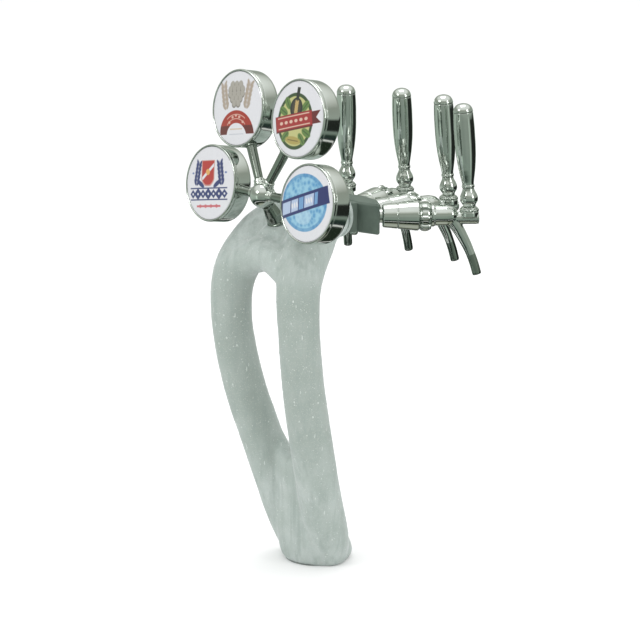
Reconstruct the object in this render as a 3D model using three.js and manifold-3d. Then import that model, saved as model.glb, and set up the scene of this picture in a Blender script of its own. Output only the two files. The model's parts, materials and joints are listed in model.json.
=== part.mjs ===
// Four-way ice-column beer tap tower: two frosted legs rise from one round foot and join in a head
// that carries a fan of four taps at the back and a fan of four round medallions at the front.
// Millimetres. X runs to the customer's right, Y towards the bartender, Z up from the counter.
import * as THREE from "three";
import { mergeVertices } from "three/addons/utils/BufferGeometryUtils.js";
import Module from "manifold-3d";

const wasm = await Module();
wasm.setup();

// ---- Driving dimensions ----------------------------------------------------------------------

const GAP = 0.3; // left between pieces that touch
const LEG_RADIUS = 24.5;
const LEG_BORE = 19;
const FOOT_RADIUS = 43.5;
const HEAD_RADIUS = 27;
const HEAD_END_Y = 28.2; // where the head stops and its end ring begins
const HEAD_END_Z = 424.5;
const RING_DEPTH = 5.2; // of the end ring, along Y
const FOOT_BOTTOM = 2; // the seal fills the space down to the counter
const FOOT_TOP = 112; // weld line between the foot and the legs
const HEAD_BOTTOM = 350; // weld line between the legs and the head

const MEDALLION_RADIUS = 46;
const MEDALLION_FRONT = 8.7; // the bezel's edge, in front of the arms' plane
const MEDALLION_BACK = 17.5; // behind that plane
const MEDALLION_TILT = THREE.MathUtils.degToRad(9.5); // the fan leans back by this
const HUB = new THREE.Vector3(0, -84, 461);
const HUB_RADIUS = 15;
const PEDESTAL_LEAN = THREE.MathUtils.degToRad(33); // backwards from straight down
const PEDESTAL_LENGTH = 41; // hub centre to the seat on the head
const MEDALLIONS = [
  { name: "left_lower", angle: 178.7, reach: 87 },
  { name: "left_upper", angle: 119.5, reach: 109 },
  { name: "right_upper", angle: 60.5, reach: 109 },
  { name: "right_lower", angle: 1.3, reach: 87 },
];

// Each beer line: its leg, its place in the flange, how far out it lies in the leg, and its inlet.
const BEER_LINES = [
  { name: "beer_line_1", side: -1, foot: [18, 3], offset: 5, inlet: [11, 418] },
  { name: "beer_line_2", side: -1, foot: [8, 14.5], offset: -5, inlet: [8, 431] },
  { name: "beer_line_3", side: 1, foot: [8, 14.5], offset: -5, inlet: [8, 431] },
  { name: "beer_line_4", side: 1, foot: [18, 3], offset: 5, inlet: [11, 418] },
];
const COOLANT_FOOT = [9.5, -13];

const TAP_CENTRE_Y = 12; // the four taps point outwards from this line
const TAP_STEP = 26; // degrees between neighbouring taps
const MANIFOLD_REACH = 65; // from that line to each tap's face on the manifold
const MANIFOLD_BOTTOM = 402.5;
const MANIFOLD_TOP = 440;
const NECK_HALF_WIDTH = 21.5;
const OUTLET_START = 58; // where a tap's bore ends inside the manifold
const SHANK_Z = 423.5;
const NOZZLE_Z = 420; // axis of the valve bore
const LEVER_REACH = 173; // from the taps' common line to a lever's pivot
const PIVOT_Z = 437;
const BALL_RADIUS = 7.9;
const FINGER_WIDTH = 3.2; // the lever's finger, which moves the valve spool
const SLOT_HALF = FINGER_WIDTH / 2 + 0.8; // half the width of the slot that the finger swings in
const HANDLE_LEAN = THREE.MathUtils.degToRad(-4.7); // at rest the handle leans towards the column

// ---- Materials -------------------------------------------------------------------------------

function finish(color, roughness, metalness) {
  return new THREE.MeshStandardMaterial({ color, roughness, metalness });
}
const FROST = finish(0xc3cbc6, 0.55, 0);
const CHROME = finish(0xb9c0bb, 0.08, 1);
const DARK_SATIN = finish(0x5c6660, 0.45, 0.3);
const STEEL = finish(0xa8acaa, 0.35, 1);
const RUBBER = finish(0x1c1d1d, 0.8, 0);
const LINE_PLASTIC = finish(0xd9dcd6, 0.5, 0);
const LABEL_WHITE = finish(0xf2f2f4, 0.4, 0);
const CLEAR = finish(0xf4f7f8, 0.05, 0);

// ---- Solids ----------------------------------------------------------------------------------

// A closed three.js geometry as a manifold solid, whichever way its faces point.
function solid(geometry) {
  const bare = geometry.clone();
  bare.deleteAttribute("normal");
  bare.deleteAttribute("uv");
  const merged = mergeVertices(bare, 1e-4);
  const points = merged.attributes.position.array;
  const corner = (i) => new THREE.Vector3().fromArray(points, 3 * i);
  const faces = [];
  let volume = 0;
  for (let i = 0; i < merged.index.count; i += 3) {
    const [a, b, c] = merged.index.array.subarray(i, i + 3);
    if (a === b || b === c || c === a) continue;
    faces.push([a, b, c]);
    volume += corner(a).dot(corner(b).cross(corner(c)));
  }
  const outward = volume < 0 ? faces.map(([a, b, c]) => [a, c, b]) : faces;
  const mesh = new wasm.Mesh({
    numProp: 3,
    vertProperties: new Float32Array(points),
    triVerts: new Uint32Array(outward.flat()),
  });
  return new wasm.Manifold(mesh);
}

function joined(...solids) {
  return solids.reduce((a, b) => a.add(b));
}

function cut(body, ...tools) {
  return tools.reduce((a, b) => a.subtract(b), body);
}

function geometryOf(body) {
  const { vertProperties, triVerts } = body.getMesh();
  const geometry = new THREE.BufferGeometry();
  geometry.setAttribute("position", new THREE.BufferAttribute(vertProperties, 3));
  geometry.setIndex(new THREE.BufferAttribute(triVerts, 1));
  return geometry;
}

function meshOf(name, body, material) {
  const flat = geometryOf(body).toNonIndexed();
  flat.computeVertexNormals();
  const mesh = new THREE.Mesh(flat, material);
  mesh.name = name;
  return mesh;
}

// A body of revolution about +Z from [radius, height] points.
function turned(profile, sides) {
  const points = profile.map(([r, z]) => new THREE.Vector2(r, z));
  return new THREE.LatheGeometry(points, sides).rotateX(Math.PI / 2);
}

// The same about +Z, for a ring whose profile closes on itself.
function turnedRing(profile, sides) {
  return turned([...profile, profile[0]], sides);
}

// Turns a geometry's +Z to point along +X.
function alongX(geometry) {
  return geometry.rotateY(Math.PI / 2);
}

function cylinder(radius, from, to, sides = 16) {
  return turned([[0, from], [radius, from], [radius, to], [0, to]], sides);
}

function box(x0, x1, y0, y1, z0, z1) {
  const block = new THREE.BoxGeometry(x1 - x0, y1 - y0, z1 - z0);
  return block.translate((x0 + x1) / 2, (y0 + y1) / 2, (z0 + z1) / 2);
}

// A tube of constant section along a curve.
function tube(curve, radius, sides, steps) {
  const section = new THREE.Shape();
  for (let i = 0; i < sides; i++) {
    const a = (2 * Math.PI * i) / sides;
    const [x, y] = [radius * Math.cos(a), radius * Math.sin(a)];
    if (i) section.lineTo(x, y);
    else section.moveTo(x, y);
  }
  const options = { steps, extrudePath: curve, bevelEnabled: false };
  return new THREE.ExtrudeGeometry(section, options);
}

// A closed skin over rings of points, each ring with the same number of points.
function lofted(rings) {
  const sides = rings[0].length;
  const points = rings.flat();
  const last = (rings.length - 1) * sides;
  const index = [];
  for (let k = 0; k + sides < points.length; k += sides) {
    for (let i = 0; i < sides; i++) {
      const j = (i + 1) % sides;
      index.push(k + i, k + j, k + sides + i, k + j, k + sides + j, k + sides + i);
    }
  }
  for (let i = 1; i + 1 < sides; i++) {
    index.push(0, i + 1, i, last, last + i, last + i + 1);
  }
  const geometry = new THREE.BufferGeometry().setFromPoints(points);
  return geometry.setIndex(index);
}

function smoothCurve(points) {
  return new THREE.CatmullRomCurve3(points.map((p) => new THREE.Vector3(...p)));
}

// ---- Column ----------------------------------------------------------------------------------

// Centreline of the leg on the side given by side, 1 for right and -1 for left.
function legPoints(side) {
  const right = [
    [18, 0, 0],
    [29.5, -9, 30],
    [35.5, -21, 64],
    [40, -32.5, 100],
    [46.5, -47.5, 150],
    [57, -70, 230],
    [61.5, -82, 310],
    [56, -76, 368],
    [37, -38, 414],
    [14, 0, 423],
  ];
  return right.map(([x, y, z]) => [side * x, y, z]);
}

// The foot is round on the counter and thins to the web between the legs. shrink makes the hollow.
function footBlock(shrink, sides, bottom) {
  const sections = [
    { z: bottom, y: 0, rx: FOOT_RADIUS, ry: FOOT_RADIUS },
    { z: 30, y: -9, rx: 45, ry: 37 },
    { z: 60, y: -19.5, rx: 46, ry: 27 },
    { z: 88, y: -28.5, rx: 46, ry: 18 },
    { z: 107 - shrink, y: -35, rx: 32, ry: 12 },
  ];
  const ring = ({ z, y, rx, ry }) =>
    Array.from({ length: sides }, (_, i) => {
      const a = (2 * Math.PI * i) / sides;
      return new THREE.Vector3((rx - shrink) * Math.cos(a), y + (ry - shrink) * Math.sin(a), z);
    });
  return lofted(sections.map(ring));
}

const ARCH_RADIUS = 25;
const ARCH = [
  [-56, -76, 366],
  [-34, -81, 388],
  [0, -79, 394],
  [34, -81, 388],
  [56, -76, 366],
];
const HEAD = [
  [0, -66, 396],
  [0, -38, 410],
  [0, -5, 420],
  [0, HEAD_END_Y, HEAD_END_Z],
];

// Everything inside the outer surface of the column, or inside its hollow.
function columnSolid({ leg, arch, head, shrink, sides, steps, bottom, headEnd }) {
  const headPath = [...HEAD.slice(0, -1), [0, headEnd, HEAD_END_Z]];
  return joined(
    solid(footBlock(shrink, sides, bottom)),
    solid(tube(smoothCurve(legPoints(1)), leg, sides, steps)),
    solid(tube(smoothCurve(legPoints(-1)), leg, sides, steps)),
    solid(tube(smoothCurve(ARCH), arch, sides, steps / 2)),
    solid(tube(smoothCurve(headPath), head, sides, 4)),
  );
}

// A piece whose +Z axis starts at the hub and runs down the pedestal.
function alongPedestal(geometry) {
  return geometry.rotateX(Math.PI + PEDESTAL_LEAN).translate(HUB.x, HUB.y, HUB.z);
}

function columnShell() {
  const outer = columnSolid({
    leg: LEG_RADIUS,
    arch: ARCH_RADIUS,
    head: HEAD_RADIUS,
    shrink: 0,
    sides: 18,
    steps: 14,
    bottom: FOOT_BOTTOM,
    headEnd: HEAD_END_Y + 4,
  });
  const hollow = columnSolid({
    leg: LEG_BORE,
    arch: ARCH_RADIUS - 8,
    head: HEAD_RADIUS - 4.7,
    shrink: 6,
    sides: 10,
    steps: 8,
    bottom: FOOT_BOTTOM - 1,
    headEnd: HEAD_END_Y + 8,
  });
  const spotFace = solid(alongPedestal(cylinder(10.4, 20, PEDESTAL_LENGTH)));
  const screwHole = solid(alongPedestal(cylinder(5.4, PEDESTAL_LENGTH - 2, 52, 10)));
  const flangeRoom = solid(cylinder(37.5, 0, 11.5, 24));
  return cut(outer, hollow, spotFace, screwHole, flangeRoom);
}

function columnPieces() {
  const shell = columnShell();
  const slab = (x0, x1, z0, z1) => solid(box(x0, x1, -200, HEAD_END_Y, z0, z1));
  const piece = (name, tool) => meshOf(name, shell.intersect(tool), FROST);
  return [
    piece("foot_casting", solid(box(-200, 200, -200, 200, FOOT_BOTTOM, FOOT_TOP))),
    piece("left_leg", slab(-200, 0, FOOT_TOP + GAP, HEAD_BOTTOM)),
    piece("right_leg", slab(0, 200, FOOT_TOP + GAP, HEAD_BOTTOM)),
    piece("head_casting", slab(-200, 200, HEAD_BOTTOM + GAP, 600)),
  ];
}

function headEndRing() {
  const [inner, outer, depth] = [21.5, HEAD_RADIUS + 1.5, RING_DEPTH];
  const profile = [[inner, 0], [outer - 1.5, 0], [outer, 1.5], [outer, depth - 1.4]];
  profile.push([outer - 1.5, depth], [inner, depth]);
  const ring = turnedRing(profile, 28).rotateX(-Math.PI / 2);
  const mesh = meshOf("head_end_ring", solid(ring), FROST);
  mesh.position.set(0, HEAD_END_Y + GAP, HEAD_END_Z);
  return mesh;
}

// The flange is a plate that the lines come up through, and three studs clamp it to the counter.
function basePieces() {
  const seal = turnedRing([[33.7, 0], [42, 0], [42, 1.7], [33.7, 1.7]], 24);
  const profile = [[0, 0], [33.2, 0], [33.2, 2.3], [36.8, 2.3], [36.8, 10], [0, 10]];
  const hole = (x, y, radius) => solid(cylinder(radius, -1, 12, 8).translate(x, y, 0));
  const studHoles = [90, 210, 330].map((degrees) => {
    const a = THREE.MathUtils.degToRad(degrees);
    return hole(29 * Math.cos(a), 29 * Math.sin(a), 3.4);
  });
  const lineHoles = BEER_LINES.map(({ side, foot: [x, y] }) => hole(side * x, y, 5.4));
  const coolantHoles = [-1, 1].map((side) => hole(side * COOLANT_FOOT[0], COOLANT_FOOT[1], 6.4));
  const plate = solid(turned(profile, 24));
  return [
    meshOf("base_seal", solid(seal), RUBBER),
    meshOf("base_flange", cut(plate, ...studHoles, ...lineHoles, ...coolantHoles), STEEL),
  ];
}

// ---- Beer and coolant lines inside the column ------------------------------------------------

// A line up one leg: it comes through the flange, keeps its offset in the leg and ends in the manifold.
function beerLine({ name, side, foot: [fx, fy], offset, inlet: [ix, iz] }) {
  const inLeg = legPoints(side)
    .slice(2, 8)
    .map(([x, y, z]) => [x + side * offset, y + 5, z]);
  const path = [
    [side * fx, fy, 1],
    [side * fx, fy, 12],
    [side * (fx + 3), fy - 5, 30],
    ...inLeg,
    [side * (33 + offset), -33, iz - 10],
    [side * (15 + offset * 0.6), -4, iz - 2],
    [side * ix, 19, iz],
    [side * ix, 27, iz],
  ];
  return meshOf(name, solid(tube(smoothCurve(path), 4, 8, 26)), LINE_PLASTIC);
}

// The coolant comes up one leg, crosses the head behind the medallions and goes down the other.
function coolantLine() {
  const [fx, fy] = COOLANT_FOOT;
  const up = legPoints(1)
    .slice(2, 7)
    .map(([x, y, z]) => [x, y - 10, z]);
  const half = [[fx, fy, 1], [fx, fy, 12], [fx + 7, fy - 5, 30], ...up, [54, -84, 362], [32, -86, 386]];
  const other = half.map(([x, y, z]) => [-x, y, z]).reverse();
  const path = smoothCurve([...half, [0, -86, 392], ...other]);
  return meshOf("coolant_line", solid(tube(path, 5, 8, 48)), STEEL);
}

// ---- Manifold --------------------------------------------------------------------------------

function tapAngle(i) {
  return THREE.MathUtils.degToRad(90 + (1.5 - i) * TAP_STEP);
}

// Plan of the manifold: a front edge, then one flat face across each tap's axis.
function manifoldPlan() {
  const plan = new THREE.Shape();
  const half = MANIFOLD_REACH * Math.tan(THREE.MathUtils.degToRad(TAP_STEP / 2));
  plan.moveTo(-24, 45);
  plan.lineTo(24, 45);
  for (let i = 3; i >= 0; i--) {
    const a = tapAngle(i);
    const corner = (along) => [
      MANIFOLD_REACH * Math.cos(a) - along * Math.sin(a),
      TAP_CENTRE_Y + MANIFOLD_REACH * Math.sin(a) + along * Math.cos(a),
    ];
    if (i === 3) plan.lineTo(...corner(-half));
    plan.lineTo(...corner(half));
  }
  plan.closePath();
  return plan;
}

function manifoldPieces() {
  const bevel = 2.5;
  const block = new THREE.ExtrudeGeometry(manifoldPlan(), {
    depth: MANIFOLD_TOP - MANIFOLD_BOTTOM - 2 * bevel,
    bevelThickness: bevel,
    bevelSize: bevel,
    bevelOffset: -bevel,
    bevelSegments: 1,
  }).translate(0, 0, MANIFOLD_BOTTOM + bevel);
  const neckStart = HEAD_END_Y + 2 * GAP + RING_DEPTH;
  const neck = box(-NECK_HALF_WIDTH, NECK_HALF_WIDTH, neckStart, 50, MANIFOLD_BOTTOM + 1, MANIFOLD_TOP - 1);
  const spigot = cylinder(19.5, 20, 40, 20).rotateX(-Math.PI / 2).translate(0, 0, HEAD_END_Z);
  const inlets = BEER_LINES.map(({ side, inlet: [x, z] }) => {
    const bore = cylinder(5.5, 18, 29, 8).rotateX(-Math.PI / 2);
    return solid(bore.translate(side * x, 0, z));
  });
  const outlets = [0, 1, 2, 3].map((i) => {
    const bore = alongX(cylinder(6.6, OUTLET_START, 70, 10)).translate(0, 0, SHANK_Z);
    return solid(bore.rotateZ(tapAngle(i)).translate(0, TAP_CENTRE_Y, 0));
  });
  const screwHole = solid(cylinder(3.4, 390, 412, 10).translate(0, 60, 0));
  const body = joined(solid(block), solid(neck), solid(spigot));
  const screw = turned([[0, -8.5], [3.5, -7.7], [4.6, -6], [4.6, -GAP], [3, -GAP], [3, 8], [0, 8]], 12);
  const screwMesh = meshOf("manifold_fixing_screw", solid(screw), CHROME);
  screwMesh.position.set(0, 60, MANIFOLD_BOTTOM);
  const blockMesh = meshOf("manifold_block", cut(body, ...inlets, ...outlets, screwHole), DARK_SATIN);
  return [blockMesh, screwMesh];
}

// ---- Medallion fan ---------------------------------------------------------------------------

// Turns a geometry's +Z to point outwards at an angle in the fan's plane, 0 to the right.
function alongFan(geometry, degrees) {
  return geometry.rotateY(THREE.MathUtils.degToRad(90 - degrees));
}

// Turns a geometry's +Z to point along the pedestal, in the leaning fan's frame.
function alongFanPedestal(geometry) {
  return geometry.rotateX(Math.PI + PEDESTAL_LEAN + MEDALLION_TILT);
}

function hubMesh() {
  const ball = solid(new THREE.SphereGeometry(HUB_RADIUS, 16, 10));
  const bosses = MEDALLIONS.map(({ angle }) => solid(alongFan(cylinder(6.4, 8, 17.5, 10), angle)));
  const sockets = MEDALLIONS.map(({ angle }) => solid(alongFan(cylinder(3.6, 10.5, 19, 8), angle)));
  const stemSocket = solid(alongFanPedestal(cylinder(4.6, 8, 18, 8)));
  return meshOf("hub", cut(joined(ball, ...bosses), ...sockets, stemSocket), CHROME);
}

function pedestalMesh() {
  const profile = [[0, 9], [4, 9], [4, 15.3], [8, 15.3], [9.6, PEDESTAL_LENGTH - GAP]];
  profile.push([5, PEDESTAL_LENGTH - GAP], [5, 48], [0, 48]);
  return meshOf("hub_pedestal", solid(alongFanPedestal(turned(profile, 14))), CHROME);
}

function armMesh({ name, angle, reach }) {
  const end = reach - MEDALLION_RADIUS - 0.5;
  const profile = [[0, 11], [3.1, 11], [3.1, 17.8], [6.2, 17.8], [6.2, 21.5], [4.6, 22.5]];
  profile.push([5.7, end], [3.1, end], [3.1, end + 3.6], [0, end + 3.6]);
  return meshOf(`arm_${name}`, solid(alongFan(turned(profile, 10), angle)), CHROME);
}

// A profile whose heights run to the front becomes a solid about the medallion's axis.
function facing(profile, sides) {
  return solid(turned(profile, sides).rotateX(Math.PI / 2));
}

function medallion({ name, angle, reach }) {
  const a = THREE.MathUtils.degToRad(angle);
  const group = new THREE.Group();
  group.position.set(reach * Math.cos(a), 0, reach * Math.sin(a));
  const R = MEDALLION_RADIUS;
  const [front, back] = [MEDALLION_FRONT, -MEDALLION_BACK];
  const cup = [[0, back], [R - 4, back], [R, back + 3], [R, front - 1.4], [R - 1.2, front]];
  cup.push([R - 3, front], [R - 3, back + 2.5], [0, back + 2.5]);
  const armHole = solid(alongFan(cylinder(3.6, R - 6, R + 3, 8), angle + 180));
  const dome = [0.4, 0.7, 1].map((k) => [(R - 3.4) * (1 - k), 7.6 + 3 * (1 - (1 - k) ** 2)]);
  const lens = [[0, 6.3], [R - 3.4, 6.3], [R - 3.4, 7.6], ...dome];
  const label = [[0, 4.4], [R - 3.4, 4.4], [R - 3.4, 6], [0, 6]];
  group.add(
    meshOf(`medallion_housing_${name}`, cut(facing(cup, 24), armHole), CHROME),
    meshOf(`medallion_label_${name}`, facing(label, 24), LABEL_WHITE),
    meshOf(`medallion_lens_${name}`, facing(lens, 24), CLEAR),
  );
  return group;
}

// ---- Taps, each along its own +X -------------------------------------------------------------

// A body of revolution about the tap's axis at a height z, from [radius, distance] points.
function barrel(profile, sides, z) {
  return alongX(turned(profile, sides)).translate(0, 0, z);
}

function shankSolid() {
  const start = OUTLET_START + 1;
  const profile = [[4, start], [6, start], [6, 65.4], [8, 65.4], [8, 69], [14, 69]];
  profile.push([18, 110], [17, 112.7], [4, 112.7], [4, start]);
  return solid(barrel(profile, 16, SHANK_Z));
}

function couplingNutSolid() {
  const profile = [[13.2, 113.1], [19, 113.1], [19, 125.8], [18, 126.9], [13.2, 126.9]];
  const ring = solid(barrel([...profile, profile[0]], 16, SHANK_Z));
  const slots = [0, 1, 2, 3, 4, 5].map((i) => {
    const slot = box(117.5, 130, -2.2, 2.2, 15.8, 22).rotateX((i * Math.PI) / 3);
    return solid(slot.translate(0, 0, SHANK_Z));
  });
  return cut(ring, ...slots);
}

// The spout's skin or bore: it leaves the barrel, curves down and out, and ends square to its path.
function spout(radii, sides, past) {
  const route = [[154, 419], [158.5, 409], [164, 397.5], [171, 384], [178, 368], [183.6, 351]];
  const curve = smoothCurve(route.map(([x, z]) => [x, 0, z]));
  const steps = 6;
  const rings = [];
  for (let k = 0; k <= steps; k++) {
    const centre = curve.getPointAt(k / steps);
    const along = curve.getTangentAt(k / steps);
    if (k === steps) centre.addScaledVector(along, past);
    const side = new THREE.Vector3(0, 1, 0);
    const across = new THREE.Vector3().crossVectors(side, along);
    const radius = radii[0] + (radii[1] - radii[0]) * Math.min(1, (2 * k) / steps);
    const ring = [];
    for (let i = 0; i < sides; i++) {
      const a = (2 * Math.PI * i) / sides;
      const out = side.clone().multiplyScalar(radius * Math.cos(a));
      ring.push(centre.clone().add(out).addScaledVector(across, radius * Math.sin(a)));
    }
    rings.push(ring);
  }
  return solid(lofted(rings));
}

function tapBodySolid() {
  const inlet = [[0, 113.1], [12.4, 113.1], [12.4, 127.4], [13.4, 127.4], [13.4, 130]];
  inlet.push([12, 148], [9.5, 157], [0, 159]);
  const nose = [[0, 145], [7.2, 148], [7.2, 182.8], [6, 184.3], [0, 184.3]];
  const boss = cylinder(11, NOZZLE_Z, 428.4, 14).translate(LEVER_REACH, 0, 0);
  const skin = joined(
    solid(barrel(inlet, 14, SHANK_Z)),
    solid(barrel(nose, 12, NOZZLE_Z)),
    solid(boss),
    spout([6.6, 4.8], 10, 0),
  );
  const bore = solid(barrel([[0, 112], [5.6, 112], [5.6, 182], [0, 182]], 10, NOZZLE_Z));
  const ballRoom = new THREE.SphereGeometry(BALL_RADIUS + 0.6, 14, 8);
  const ballCut = solid(ballRoom.translate(LEVER_REACH, 0, PIVOT_Z));
  const x = LEVER_REACH;
  const fingerSlot = solid(box(x - 9.6, x + 4.5, -SLOT_HALF, SLOT_HALF, NOZZLE_Z, 432));
  return cut(skin, bore, ballCut, fingerSlot, spout([3.2, 3.2], 6, 2));
}

function bonnetSolid() {
  const seat = (z) => Math.sqrt((BALL_RADIUS + 0.4) ** 2 - (PIVOT_Z - z) ** 2);
  const profile = [[11, 428.8], [11.4, 430], [11.4, 431.2], [9.8, 431.6], [9.8, 433]];
  [433, 431, 428.8].forEach((z) => profile.push([seat(z) + 0.35, z]));
  const ring = solid(turnedRing(profile, 14));
  return cut(ring, solid(box(-8.6, SLOT_HALF, -SLOT_HALF, SLOT_HALF, 428, 432.4)));
}

// The lever turns about its ball: a finger points down into the spool, and a stud holds the handle.
function leverSolid() {
  const ball = solid(new THREE.SphereGeometry(BALL_RADIUS, 14, 8).rotateX(Math.PI / 2));
  const r = FINGER_WIDTH / 2;
  const finger = solid(turned([[0, -15.3], [r, -14.6], [r, -5], [0, -5]], 6));
  const stem = [[0, -2], [7.5, -2], [9, 1], [10, 5], [9.6, 9], [8, 14], [7, 17], [7, 19.5], [3, 19.5]];
  stem.push([3, 32], [0, 32]);
  return joined(ball, finger, solid(turned(stem, 12).rotateY(HANDLE_LEAN)));
}

function handleSolid() {
  const inside = [[0, 108], [8.5, 103], [9.4, 74], [3.4, 36], [3.4, 19.9]];
  const outside = [[7, 19.9], [7, 24.2], [6.2, 25.6], [6.8, 31], [8.6, 43], [11.4, 63]];
  outside.push([12.3, 84], [11.9, 105], [10.6, 113.2], [8.2, 118], [4.6, 120.4], [0, 121.2]);
  return solid(turned([...inside, ...outside], 14));
}

function spoolSolid() {
  const profile = [[0, 159], [5, 159], [5, 162], [3.4, 162], [3.4, 167], [5, 167], [5, 178.5], [0, 178.5]];
  const rod = solid(barrel(profile, 10, NOZZLE_Z));
  const x = LEVER_REACH;
  return cut(rod, solid(box(x - 3, x + 3, -6, 6, NOZZLE_Z - 0.6, 430)));
}

function tap(i) {
  const group = new THREE.Group();
  group.position.set(0, TAP_CENTRE_Y, 0);
  group.rotation.z = tapAngle(i);
  const n = i + 1;
  const lever = meshOf(`lever_${n}`, leverSolid(), CHROME);
  lever.position.set(LEVER_REACH, 0, PIVOT_Z);
  const handle = meshOf(`handle_${n}`, handleSolid(), CHROME);
  handle.position.copy(lever.position);
  handle.rotation.y = HANDLE_LEAN;
  const bonnet = meshOf(`bonnet_${n}`, bonnetSolid(), CHROME);
  bonnet.position.set(LEVER_REACH, 0, 0);
  group.add(
    meshOf(`shank_${n}`, shankSolid(), CHROME),
    meshOf(`coupling_nut_${n}`, couplingNutSolid(), CHROME),
    meshOf(`tap_body_${n}`, tapBodySolid(), CHROME),
    meshOf(`valve_spool_${n}`, spoolSolid(), STEEL),
    bonnet,
    lever,
    handle,
  );
  return group;
}

// ---- Assembly --------------------------------------------------------------------------------

const tower = new THREE.Group();
tower.add(...basePieces(), ...columnPieces(), headEndRing(), ...manifoldPieces(), coolantLine());
tower.add(...BEER_LINES.map(beerLine));

const fan = new THREE.Group();
fan.position.copy(HUB);
fan.rotation.x = -MEDALLION_TILT;
fan.add(hubMesh(), pedestalMesh(), ...MEDALLIONS.map(armMesh), ...MEDALLIONS.map(medallion));
tower.add(fan);

for (let i = 0; i < 4; i++) tower.add(tap(i));

export default tower;
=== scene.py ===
"""The looks of a four-way ice-column beer tower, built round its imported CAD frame.

Lengths in the builders are millimetres in the frame's own axes, and MM turns them into metres.
-Y is the customer's side, +Y the bartender's, and the tower is a mirror image about X = 0.
"""
import json
import math

import bmesh
import bpy
import numpy as np
from mathutils import Matrix, Vector, noise


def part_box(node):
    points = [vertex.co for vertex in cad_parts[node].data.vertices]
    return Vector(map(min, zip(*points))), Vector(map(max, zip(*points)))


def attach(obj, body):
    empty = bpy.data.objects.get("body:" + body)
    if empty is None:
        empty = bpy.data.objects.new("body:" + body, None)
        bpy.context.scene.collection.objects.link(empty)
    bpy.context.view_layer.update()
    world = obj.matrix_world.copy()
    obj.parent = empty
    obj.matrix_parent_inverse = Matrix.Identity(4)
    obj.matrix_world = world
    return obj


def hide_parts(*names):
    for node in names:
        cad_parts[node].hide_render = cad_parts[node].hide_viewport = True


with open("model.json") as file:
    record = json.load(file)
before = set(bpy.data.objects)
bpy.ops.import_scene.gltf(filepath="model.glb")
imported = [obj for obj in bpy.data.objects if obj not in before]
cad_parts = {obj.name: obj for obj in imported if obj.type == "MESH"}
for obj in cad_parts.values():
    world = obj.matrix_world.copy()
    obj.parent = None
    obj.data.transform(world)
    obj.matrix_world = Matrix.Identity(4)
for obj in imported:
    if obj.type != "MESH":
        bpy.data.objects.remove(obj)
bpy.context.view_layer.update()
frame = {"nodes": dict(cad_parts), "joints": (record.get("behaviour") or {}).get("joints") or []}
MM = 0.001
BODY = "tower"

# ---- Sizes that the pieces share -------------------------------------------------------------

# The column: each line is the middle of a tube, and the right leg mirrors the left one.
LEG_RADII = [  # height, radius
    (0, 22), (15, 25), (40, 26.5), (100, 26), (170, 25.7), (230, 25), (310, 24.5), (355, 26),
    (380, 27.5), (405, 29), (423, 27),
]
LEG_LINE = [
    (18, 0, 0), (29.5, -9, 30), (35.5, -21, 64), (40, -32.5, 100), (46.5, -47.5, 150),
    (57, -70, 230), (61.5, -82, 310), (56, -76, 368), (37, -38, 414), (14, 0, 423),
]
ARCH_LINE = [(-56, -76, 361), (-36, -78, 379.5), (0, -74, 389.5), (36, -78, 379.5), (56, -76, 361)]
ARCH_RADIUS = 21.5
WEB_LINE = [(-38, -38, 154), (-18, -38, 134), (0, -39, 127), (18, -38, 134), (38, -38, 154)]
WEB_RADIUS = 13
HEAD_LINE = [(0, -66, 396), (0, -38, 410), (0, -5, 420), (0, 30, 424.5)]
HEAD_RADIUS = 27
HEAD_END_Z = 424.5
FOOT_SECTIONS = [  # height, y, half width along x and along y
    (0.8, 0, 39.5, 39.5), (3, 0, 42, 42), (8, -0.6, 44.2, 43.6), (14, -2.2, 45.3, 43.6),
    (30, -7.2, 46, 41), (60, -17.5, 47, 31.5), (88, -27, 47, 21), (112, -34.5, 40, 17),
    (134, -40.5, 26, 11),
]
SEAL_RADIUS = 39.2
COLUMN_VOXEL = 1.7  # fineness of the column's skin
COLUMN_EASING = 38  # passes that round the corners between the column's tubes
ICE_WAVES = [(0.35, 38), (0.16, 140)]  # how far the ice swells, and how many waves in a metre
DROPS = [  # how many, smallest and largest radius, shortest and longest for their width
    (1500, 0.35, 0.7, 1.0, 1.25), (220, 0.7, 1.2, 1.0, 1.5), (70, 0.5, 0.8, 3.0, 7.0),
]

# The medallion fan
HUB = Vector((0, -84, 461))
HUB_RADIUS = 15
FAN_TILT = math.radians(9.5)
PEDESTAL_LEAN = math.radians(33)
PEDESTAL_LENGTH = 41
BADGE_RADIUS = 46
BADGES = {  # angle in the fan's plane, in degrees from +X, and distance from the hub
    "left_lower": (178.7, 87), "left_upper": (119.5, 109),
    "right_upper": (60.5, 109), "right_lower": (1.3, 87),
}
PRINT_TURN = {"left_lower": 9, "left_upper": 9}  # degrees that a print is turned on its face
SCREW_CIRCLE = 23.5  # radius of the ring of screws on a medallion's back
BADGE_BACK = -16.2  # where those screws sit, along the face's axis

# The taps: reach is measured out from the taps' common line
TAPS = (1, 2, 3, 4)
LEVER_REACH = 173
PIVOT_Z = 437
SHANK_Z = 423.5
NOZZLE_Z = 420
HANDLE_LEAN = math.radians(-4.7)
SPOUT_POINTS = [
    (151, 0, 419), (157.5, 0, 410.5), (164.6, 0, 398.5), (172, 0, 384), (178.6, 0, 367.5),
    (183.4, 0, 351.4),
]
SPOUT_STEPS = 48
CAST_STEPS = 40  # the casting ends here along the spout, inside the sleeve
SLEEVE_FROM = 31  # the dark sleeve begins here


# ---- Mesh helpers ----------------------------------------------------------------------------

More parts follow.
